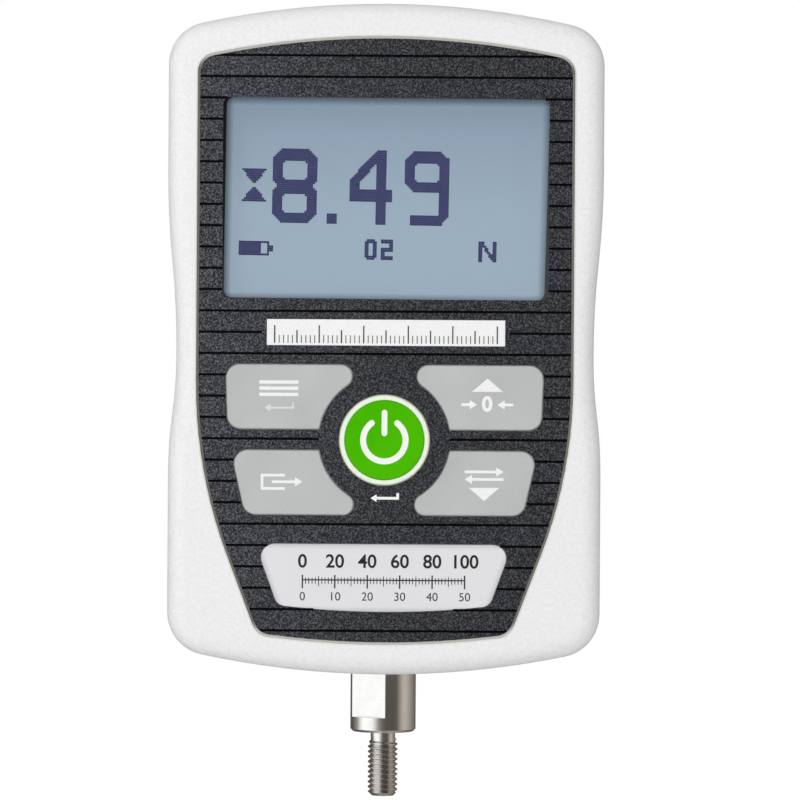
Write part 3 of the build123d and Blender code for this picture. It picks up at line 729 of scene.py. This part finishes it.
def overlay_lines():
    """The thin black lines across the overlay, broken at the window, keys, plate and strip."""
    bars = []
    for row in range(line_count):
        z = line_top - row * line_pitch
        spans = spans_at(z + line_nudge, overlay_edges)
        spans = without(spans, spans[-1][1] - rim_inside, spans[-1][1])
        spans = without(spans, spans[0][0], spans[0][0] + rim_inside)
        if abs(z - power_z) < clear_r:
            spans = without(spans, power_x - clear_r, power_x + clear_r)
        if strip_low - strip_gap < z < strip_high + strip_gap:
            spans = without(spans, strip_left - strip_gap, strip_right + strip_gap)
        bars += [rectangle(left, right, z - line_w / 2, z + line_w / 2) for left, right in spans]
    flat("overlay_lines", bars, overlay_y, "gauge", LINE_INK)


def tick_strip():
    """The white strip under the window, ruled with plain ticks."""
    whole = rectangle(strip_left, strip_right, strip_low, strip_high)
    flat("tick_strip", [whole], overlay_y, "gauge", WHITE_INK)
    run = strip_right - strip_left - 2 * strip_margin
    foot = strip_low + strip_foot
    ticks = []
    for i in range(strip_divisions + 1):
        x = strip_left + strip_margin + run * i / strip_divisions
        half = strip_tick_w[tick_rank(i)] / 2
        top = foot + strip_tick_h[tick_rank(i)] * strip_h
        ticks.append(rectangle(x - half, x + half, foot, top))
    flat("tick_strip_ticks", ticks, overlay_y - print_t - print_gap, "gauge", BLACK_INK)


# The display
dot_pitch, dot_rise = 0.315, 0.321
dot_size = 0.308
dots_left, dots_top = window_left + 3.95, window_top - 9.35
dots_turn = radians(-0.85)  # the readout sits a touch askew in its window
dots_middle = (dots_left + 20.7, dots_top - 8.12)  # where it turns
readout_rows = 56


def display_border():
    """The dark band behind the window's edge, painted shade of that edge, laid on the window's front for
    the light's sake.
    """
    left, right = window_left + border_edge, window_right - border_edge
    foot, top = window_foot + border_edge, window_top - border_edge
    inner = rounded(opening, opening_r)
    outer = rounded(((left, top), (right, top), (right, foot), (left, foot)), opening_r)
    front = window_y - print_gap
    band("display_border", inner, outer, front, front, "gauge", BORDER_SHADE)


# The readout's marks. Each says whether a dot is lit, counted right and down from its upper left
# corner. A block is its left, right, top, foot and the length that is cut off its corners.
digit_w, digit_h = 22, 36
digit_cut = 4
upper_hole = (5, 17, 5.5, 14.6, 1.5)
lower_hole = (5, 17, 21.6, 30.6, 1.5)


def in_block(x, z, left, right, top, foot, cut):
    """Whether a dot lies in a block with its corners cut off at 45 degrees."""
    if not (left < x < right and top < z < foot):
        return False
    return min(x - left, right - x) + min(z - top, foot - z) > cut


def digit_eight(x, z):
    notch = min(x, digit_w - x) + abs(z - digit_h / 2) < 3
    hole = in_block(x, z, *upper_hole) or in_block(x, z, *lower_hole)
    return in_block(x, z, 0, digit_w, 0, digit_h, digit_cut) and not notch and not hole


def digit_four(x, z):
    post = 13 < x < 17.7 and 0 < z < digit_h
    crossbar = 0 < x < 21.2 and 19 < z < 24.6
    slope = 13 - 13 * z / 14.5
    arm = 0 < z < 19 and slope < x < slope + 6 and x < 14
    corner = 0 < x < 4.7 and 14.5 < z < 19
    return post or crossbar or arm or corner


def digit_nine(x, z):
    bowl = in_block(x, z, 0, digit_w, 0, 20, digit_cut)
    side = x > 17 and z > 3 and in_block(x, z, 0, digit_w, -9, digit_h, digit_cut)
    foot = 3.2 < x < 19 and 30.6 < z < digit_h
    return ((bowl or side) and not in_block(x, z, *upper_hole)) or foot


def point_dot(x, z):
    return 0 < x < 4.7 and 30.8 < z < digit_h


def peak_mark(x, z):
    """Two triangles, almost point to point."""
    from_middle = abs(z - digit_h / 2)
    return 1 < from_middle < 8 and abs(x - 6) < 6 * (from_middle - 1) / 7 + 0.6


def cell_mark(x, z):
    """A battery lying on its side, two thirds full."""
    case = 0 < x < 15 and 45 < z < 52
    inside = 1 < x < 14 and 46 < z < 51
    full = 1 < x < 11 and 46 < z < 51
    tip = 15 < x < 17 and 47 < z < 50
    return (case and not inside) or full or tip


def small_zero(x, z):
    return in_block(x, z, 0, 6, 43, 53, 1) and not in_block(x, z, 1.6, 4.4, 44.6, 51.4, 0.2)


def small_two(x, z):
    bars = 0 < x < 6 and (43 < z < 44.6 or 47.2 < z < 48.8 or 51.4 < z < 53)
    right = 4.4 < x < 6 and 43 < z < 48.8
    left = 0 < x < 1.6 and 47.2 < z < 53
    return bars or right or left


def unit_mark(x, z):
    """The sign of the unit of force, the newton."""
    if not (0 < x < 9 and 42.5 < z < 53):
        return False
    slant = abs((z - 42.5) - (x - 1.0) * 10.5 / 7) < 1.6
    return x < 1.7 or x > 7.3 or slant


READOUT = (  # each mark, its first column and its width in dots
    (digit_eight, 16, digit_w),
    (point_dot, 43, 5),
    (digit_four, 54, digit_w),
    (digit_nine, 81, digit_w),
    (peak_mark, 1, 12),
    (cell_mark, 0, 17),
    (small_zero, 62, 6),
    (small_two, 70, 6),
    (unit_mark, 118, 9),
)


def turned(x, z):
    """A point of the readout, turned with it about its middle."""
    x -= dots_middle[0]
    z -= dots_middle[1]
    c, s = cos(dots_turn), sin(dots_turn)
    return (dots_middle[0] + c * x - s * z, dots_middle[1] + s * x + c * z)


def readout():
    """The lit marks as small square dots on the display's grid."""
    half = dot_size / 2
    dots = []
    for mark, left, width in READOUT:
        for column in range(width):
            for row in range(readout_rows):
                if mark(column + 0.5, row + 0.5):
                    x = dots_left + (left + column + 0.5) * dot_pitch
                    z = dots_top - (row + 0.5) * dot_rise
                    square = rectangle(x - half, x + half, z - half, z + half)
                    dots.append([turned(*corner) for corner in square])
    flat("readout", dots, lcd_y, "gauge", LCD_INK)


# Symbols on the keys, placed from the middle of each key
power_arc_r, power_arc_w = 3.27, 0.93
power_gap = 36.7  # degrees from the stem to each end of the arc
power_stem_low, power_stem_high, power_stem_w = 1.05, 4.25, 0.88
symbol_w, symbol_head = 0.42, 1.15
small_symbol_w, small_symbol_head = 0.28, 0.95


def power_symbol():
    """A ring that is open at the top, with a stem in its opening."""
    first, last = 90 + power_gap, 90 + 360 - power_gap
    arc = arc_band(power_x, power_z, power_arc_r, power_arc_w, first, last)
    stem = bar(power_x, power_z + power_stem_low, power_x, power_z + power_stem_high, power_stem_w)
    flat("power_symbol", [arc, stem], face_y("power_key"), "power_button", CREAM_INK)


def menu_symbols():
    """The three bars of a menu, and a step back."""
    key_x, key_z = middle("menu_key")
    x, z = key_x - 1.576, key_z + 1.3
    half_w, half_h, pitch = 3.0, 0.26, 0.95
    bars = []
    for lift in (-pitch, 0, pitch):
        bars.append(rectangle(x - half_w, x + half_w, z + lift - half_h, z + lift + half_h))
    flat("menu_bars", bars, key_y, "menu_button", WHITE_INK)
    back_half, back_z, back_tail = 2.2, key_z - 1.7, 0.75
    ends = (x + back_half, back_z, x - back_half, back_z)
    back = arrow(*ends, small_symbol_w, small_symbol_head, back_tail)
    flat("menu_back", back, key_y, "menu_button", SOFT_INK)


def zero_symbols():
    """A triangle that points up, over a zero between two arrows."""
    key_x, key_z = middle("zero_key")
    up = triangle(key_x + 1.126, base=key_z + 0.94, tip=key_z + 3.0, half=2.4)
    flat("zero_triangle", [up], key_y, "zero_button", WHITE_INK)
    x, z = key_x + 1.076, key_z - 1.05
    height, bold = 2.3, 0.12
    numeral("zero_numeral", "0", x, z, height, key_y, "zero_button", WHITE_INK, bold)
    start, end = 4.0, 1.55
    for side, name in ((-1, "left"), (1, "right")):
        inward = arrow(x + side * start, z, x + side * end, z, symbol_w, symbol_head)
        flat(f"zero_arrow_{name}", inward, key_y, "zero_button", WHITE_INK)


def mode_symbols():
    """A triangle that points down, under two arrows that swap."""
    key_x, key_z = middle("mode_key")
    down = triangle(key_x + 1.468, base=key_z - 0.65, tip=key_z - 2.7, half=2.35)
    flat("mode_triangle", [down], key_y, "mode_button", WHITE_INK)
    left, right = key_x - 1.532, key_x + 4.468
    upper, lower = key_z + 1.8, key_z + 0.65
    swap = arrow(left, upper, right, upper, symbol_w, symbol_head)
    swap += arrow(right, lower, left, lower, symbol_w, symbol_head)
    flat("mode_swap", swap, key_y, "mode_button", WHITE_INK)


def data_symbols():
    """An arrow that leaves a tray."""
    key_x, key_z = middle("data_key")
    x, z = key_x - 1.968, key_z + 0.1
    left, right, foot, top = x - 2.9, x + 0.6, z - 1.05, z + 1.0
    tray = stroke([(right, top), (left, top), (left, foot), (right, foot)], symbol_w)
    start, end = x - 1.4, x + 3.3
    send = arrow(start, z, end, z, symbol_w, symbol_head)
    flat("data_send", [tray] + send, key_y, "data_button", WHITE_INK)


def return_mark():
    """The small return arrow under the power key."""
    z = power_z - 8.95
    half, tail = 2.1, 0.8
    mark = arrow(power_x + half, z, power_x - half, z, symbol_w, small_symbol_head, tail)
    flat("return_mark", mark, overlay_y, "gauge", WHITE_INK)


# The double scale on the light plate
scale_z = plate_high - 5.53
scale_w = 25.0
scale_divisions = 50
scale_line_half = 0.1
scale_tick_h = (1.3, 0.95, 0.6)  # of each rank, under the line
scale_tick_w = (0.22, 0.13, 0.13)
scale_tick_above = 0.6  # the share of a tick's height that stands over the line
scale_steps = 5  # between the first number and the last
upper_number_z, lower_number_z = plate_high - 2.73, plate_high - 8.13
upper_number_h, lower_number_h = 2.1, 1.35
upper_number_step, lower_number_step = 20, 10
upper_number_bold = 0.05


def plate_ticks():
    """One ruled line with ticks over and under it."""
    line = scale_line_half
    marks = [rectangle(-scale_w / 2 - line, scale_w / 2 + line, scale_z - line, scale_z + line)]
    for i in range(scale_divisions + 1):
        x = -scale_w / 2 + scale_w * i / scale_divisions
        tall = scale_tick_h[tick_rank(i)]
        half = scale_tick_w[tick_rank(i)] / 2
        marks.append(rectangle(x - half, x + half, scale_z - tall, scale_z - line))
        marks.append(rectangle(x - half, x + half, scale_z + line, scale_z + scale_tick_above * tall))
    flat("plate_ticks", marks, plate_y, "gauge", BLACK_INK)


def plate_numbers():
    """Plain numbers over and under the scale."""
    for i in range(scale_steps + 1):
        x = -scale_w / 2 + scale_w * i / scale_steps
        upper = (str(upper_number_step * i), x, upper_number_z, upper_number_h)
        lower = (str(lower_number_step * i), x, lower_number_z, lower_number_h)
        numeral(f"plate_number_{i}", *upper, plate_y, "gauge", BLACK_INK, upper_number_bold)
        numeral(f"plate_small_number_{i}", *lower, plate_y, "gauge", BLACK_INK)


# The loading shaft
stud_pitch = 0.79375
stud_crest_r = 2.39
stud_root_r = 1.93
stud_end_r = 1.75
neck_r = 1.95
neck_close = 0.02  # how near to neck_r the points of the neck lie
neck_cut = 0.05  # from the neck's foot up to where the threaded bar takes over
thread_peak, thread_slope = 1.13, 2.4  # the flanks' peak and their fall per pitch, cut off at 1 and 0
thread_fade = 0.9  # the turns in which the thread rises from the neck
thread_around, thread_rows = 56, 14  # points round the bar, and rings of them in a pitch
sharp_turn = radians(28)


def loading_shaft():
    """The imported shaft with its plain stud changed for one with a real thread."""
    mesh = bpy.data.meshes.new("threaded_shaft")
    shape = bmesh.new()
    shape.from_mesh(nodes["loading_shaft"].data)
    bmesh.ops.remove_doubles(shape, verts=shape.verts[:], dist=1e-7)
    neck = [v.co.z for v in shape.verts if abs(hypot(v.co.x, v.co.y - shaft_y) / MM - neck_r) < neck_close]
    cut = min(neck) + neck_cut * MM
    everything = shape.verts[:] + shape.edges[:] + shape.faces[:]
    plane = {"plane_co": (0, 0, cut), "plane_no": (0, 0, 1)}
    bmesh.ops.bisect_plane(shape, geom=everything, clear_inner=True, **plane)
    add_thread(shape, cut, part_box("loading_shaft")[0].z)
    bmesh.ops.recalc_face_normals(shape, faces=shape.faces[:])
    shape.to_mesh(mesh)
    shape.free()
    mesh.attributes.remove(mesh.attributes["custom_normal"])
    mesh.polygons.foreach_set("use_smooth", [True] * len(mesh.polygons))
    mesh.set_sharp_from_angle(angle=sharp_turn)
    mesh.materials.append(PAINTS["steel"])
    piece = linked("threaded_shaft", mesh)
    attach(piece, "shaft")
    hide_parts("loading_shaft")


def thread_radius(turns_down, from_end):
    """The radius of a 60 degree thread, in mm, faded out at both ends."""
    across = turns_down % 1.0
    flank = min(max(thread_peak - thread_slope * abs(across - 0.5), 0.0), 1.0)
    fade = min(1.0, turns_down / thread_fade)
    radius = stud_root_r + (stud_crest_r - stud_root_r) * flank * fade
    return min(radius, stud_end_r + from_end)


def add_thread(shape, top, foot):
    """A ribbed bar on the shaft axis, from the neck down to a flat end."""
    length = top - foot
    rows = int(ceil(length / (stud_pitch * MM) * thread_rows))
    rings = []
    for row in range(rows + 1):
        down = length * row / rows
        ring = []
        for i in range(thread_around):
            turn = i / thread_around
            turns_down = down / (stud_pitch * MM) - turn
            radius = stud_root_r
            if turns_down > 0:
                radius = thread_radius(turns_down, (length - down) / MM)
            radius *= MM
            angle = 2 * pi * turn
            ring.append(shape.verts.new((radius * cos(angle), shaft_y + radius * sin(angle), top - down)))
        rings.append(ring)
    for upper, lower in zip(rings, rings[1:]):
        bridge(shape, upper, lower)
    shape.faces.new(rings[-1])
    shape.faces.new(reversed(rings[0]))


# World and camera
ambient = 0.42
camera_away = 650.0  # from the shaft's axis
camera_x, camera_z = 2.37, -15.6
camera_lens = 184.5
camera_roll = radians(0.37)

# The stage, in metres
floor_drop = 120 * MM
floor_half = 3.0
floor_glow_near, floor_glow_far = 0.49, 0.64
floor_glow_reach = 0.8
lamp_aim = (0, -0.02, -0.01)
lamps = (  # name, place, size and power in watts
    ("key_lamp", (-0.55, -0.75, 0.65), 0.2, 2.6),
    ("front_lamp", (0.0, -1.1, 0.0), 0.5, 4.2),
)
WARM = (1.0, 0.94, 0.87)
COOL = (0.9, 0.96, 1.0)
surround_away = 0.3
surround_low, surround_high = -0.14, 0.4
surround_steps = 48
surround_strength = 2.0
surround_tones = (  # degrees from straight ahead towards +X, brightness and tint
    (-90, 0.55, COOL),
    (-75, 0.95, COOL),
    (-38, 0.88, COOL),
    (-14, 0.18, WARM),
    (5, 0.07, WARM),
    (49, 0.07, WARM),
    (74, 0.39, WARM),
    (88, 0.38, WARM),
    (108, 0.25, WARM),
    (145, 0.09, WARM),
    (230, 0.06, WARM),
    (258, 0.22, WARM),
    (270, 0.55, COOL),
)


def seen(tree):
    """1 for rays that show a surface, and 0 for those that only carry light to it."""
    rays = tree.nodes.new("ShaderNodeLightPath")
    either = rays.outputs["Is Camera Ray"]
    for name in ("Is Glossy Ray", "Is Transmission Ray"):
        both = tree.nodes.new("ShaderNodeMath")
        both.operation = "MAXIMUM"
        tree.links.new(either, both.inputs[0])
        tree.links.new(rays.outputs[name], both.inputs[1])
        either = both.outputs["Value"]
    return either


def world():
    """White where it is seen, and dimmer as light."""
    studio = bpy.data.worlds.new("studio")
    bpy.context.scene.world = studio
    studio.use_nodes = True
    tree = studio.node_tree
    background = tree.nodes["Background"]
    background.inputs["Color"].default_value = (1, 1, 1, 1)
    level = tree.nodes.new("ShaderNodeMapRange")
    level.inputs["To Min"].default_value = ambient
    level.inputs["To Max"].default_value = 1.0
    tree.links.new(seen(tree), level.inputs["Value"])
    tree.links.new(level.outputs["Result"], background.inputs["Strength"])


def camera():
    """A long lens straight in front, held a little askew."""
    data = bpy.data.cameras.new("camera")
    data.lens = camera_lens
    data.sensor_width = 36.0
    data.clip_start = 0.01
    view = linked("camera", data)
    view.location = (camera_x * MM, shaft_y - camera_away * MM, camera_z * MM)
    view.rotation_euler = (pi / 2, -camera_roll, 0)
    bpy.context.scene.camera = view


def stage_mesh(name, points, faces, paint):
    """A piece of the stage, which isn't part of the gauge."""
    mesh = bpy.data.meshes.new(name)
    mesh.from_pydata(points, [], faces)
    mesh.materials.append(paint.material)
    piece = linked(name, mesh)
    return piece


def floor():
    """A pale floor, lifted to white where no shadow falls on it, and more so further out."""
    paint = Paint("floor_paint", srgb(246, 246, 246), 0.9, gloss=0.0, Emission_Color=(1, 1, 1, 1))
    nearness = paint.node("ShaderNodeTexGradient", gradient_type="SPHERICAL")
    paint.link(paint.place, nearness.inputs["Vector"])
    glow = paint.spread(nearness.outputs["Fac"], 0.0, floor_glow_reach, floor_glow_far, floor_glow_near)
    paint.link(paint.combine(seen(paint.tree), glow, "MULTIPLY"), paint.shader.inputs["Emission Strength"])
    z = cad_box[0].z - floor_drop
    corners = rectangle(-floor_half, floor_half, -floor_half, floor_half)
    stage_mesh("floor", [(x, y, z) for x, y in corners], [(0, 1, 2, 3)], paint)


def surround():
    """A round tub of soft tones about the shaft, open at the top. Only polished metal shows it."""
    paint = Paint("surround_paint", (0, 0, 0, 1), 1.0, gloss=0.0, Emission_Strength=surround_strength)
    round_z = paint.node("ShaderNodeTexGradient", gradient_type="RADIAL")
    paint.link(paint.place, round_z.inputs["Vector"])
    seam = surround_tones[0][0]
    stops = []
    for turn, level, tint in surround_tones:
        stops.append(((turn - seam) / 360, (*(level * channel for channel in tint), 1.0)))
    paint.link(paint.ramp(round_z.outputs["Fac"], *stops), paint.shader.inputs["Emission Color"])
    points = []
    faces = []
    for i in range(surround_steps):
        turn = 2 * pi * i / surround_steps
        x, y = surround_away * cos(turn), surround_away * sin(turn)
        points += [(x, y, surround_low), (x, y, surround_high)]
        onward = 2 * ((i + 1) % surround_steps)
        faces.append((2 * i, onward, onward + 1, 2 * i + 1))
    faces.append([2 * i for i in range(surround_steps)])
    made = stage_mesh("surround", points, faces, paint)
    made.location = (0, shaft_y, 0)
    made.visible_camera = False
    made.visible_diffuse = False
    made.visible_shadow = False


def lamp(name, place, size, power):
    """A square lamp that lights the part without showing."""
    light = bpy.data.lights.new(name, "AREA")
    light.size = size
    light.energy = power
    made = linked(name, light)
    made.location = place
    made.rotation_euler = (Vector(lamp_aim) - Vector(place)).to_track_quat("-Z", "Y").to_euler()
    made.visible_camera = False
    made.visible_glossy = False


def stage():
    """What stands and shines round the gauge."""
    floor()
    surround()
    for name, place, size, power in lamps:
        lamp(name, place, size, power)


paint_cad_nodes()
overlay_rim()
overlay_lines()
tick_strip()
display_border()
readout()
power_symbol()
menu_symbols()
zero_symbols()
mode_symbols()
data_symbols()
return_mark()
plate_ticks()
plate_numbers()
loading_shaft()
world()
camera()
stage()

bpy.context.scene.view_settings.view_transform = "Standard"
